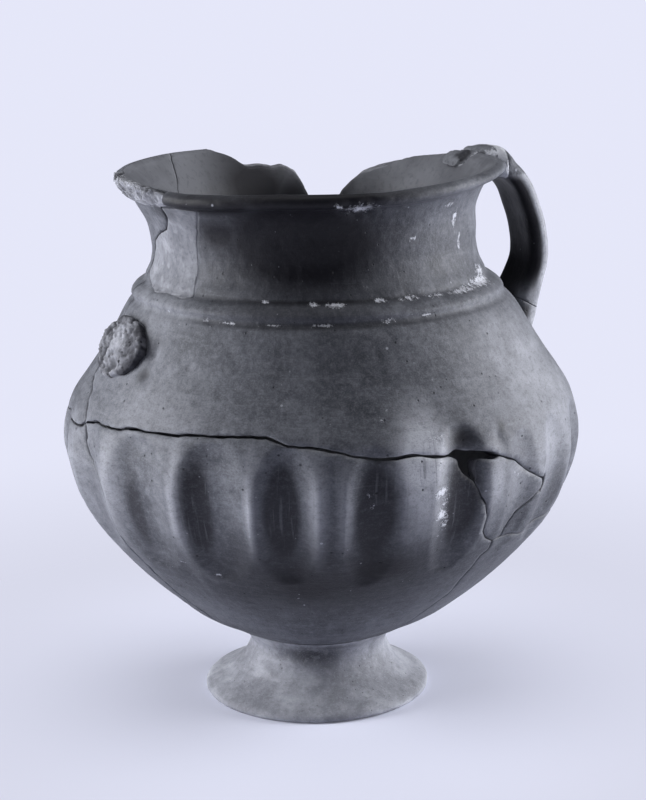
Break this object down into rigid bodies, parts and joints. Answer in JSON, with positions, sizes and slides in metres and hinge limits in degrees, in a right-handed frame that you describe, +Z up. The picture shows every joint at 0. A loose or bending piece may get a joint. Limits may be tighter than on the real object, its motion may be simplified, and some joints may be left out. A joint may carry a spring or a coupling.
{
  "type": "jar",
  "caption": "Handmade jar with a ribbed belly, ringed shoulder, flared lip and spreading foot, mended from sherds, with one strap handle",
  "frame": {"origin": "on the ground, in the middle of the jar's box", "axes": "+Z up, +X towards the surviving handle"},
  "size_m": [0.1985, 0.1992, 0.2117],
  "materials": {
    "burnished_clay": "burnished dark clay, satin",
    "foot_clay": "worn pale grey clay, dull",
    "broken_clay": "rough broken clay, matt",
    "plaster": "toned plaster fill, matt"
  },
  "bodies": {
    "root": {"foot": "foot_clay", "bowl_front": "burnished_clay", "bowl_back": "burnished_clay", "rib_sherd": "burnished_clay", "shoulder_front": "burnished_clay", "shoulder_back": "burnished_clay", "shoulder_left": "burnished_clay", "neck_fill": "plaster", "handle": "burnished_clay", "handle_fill": "plaster", "lost_handle_upper_root": "broken_clay", "lost_handle_lower_root": "broken_clay"}
  },
  "joints": []
}
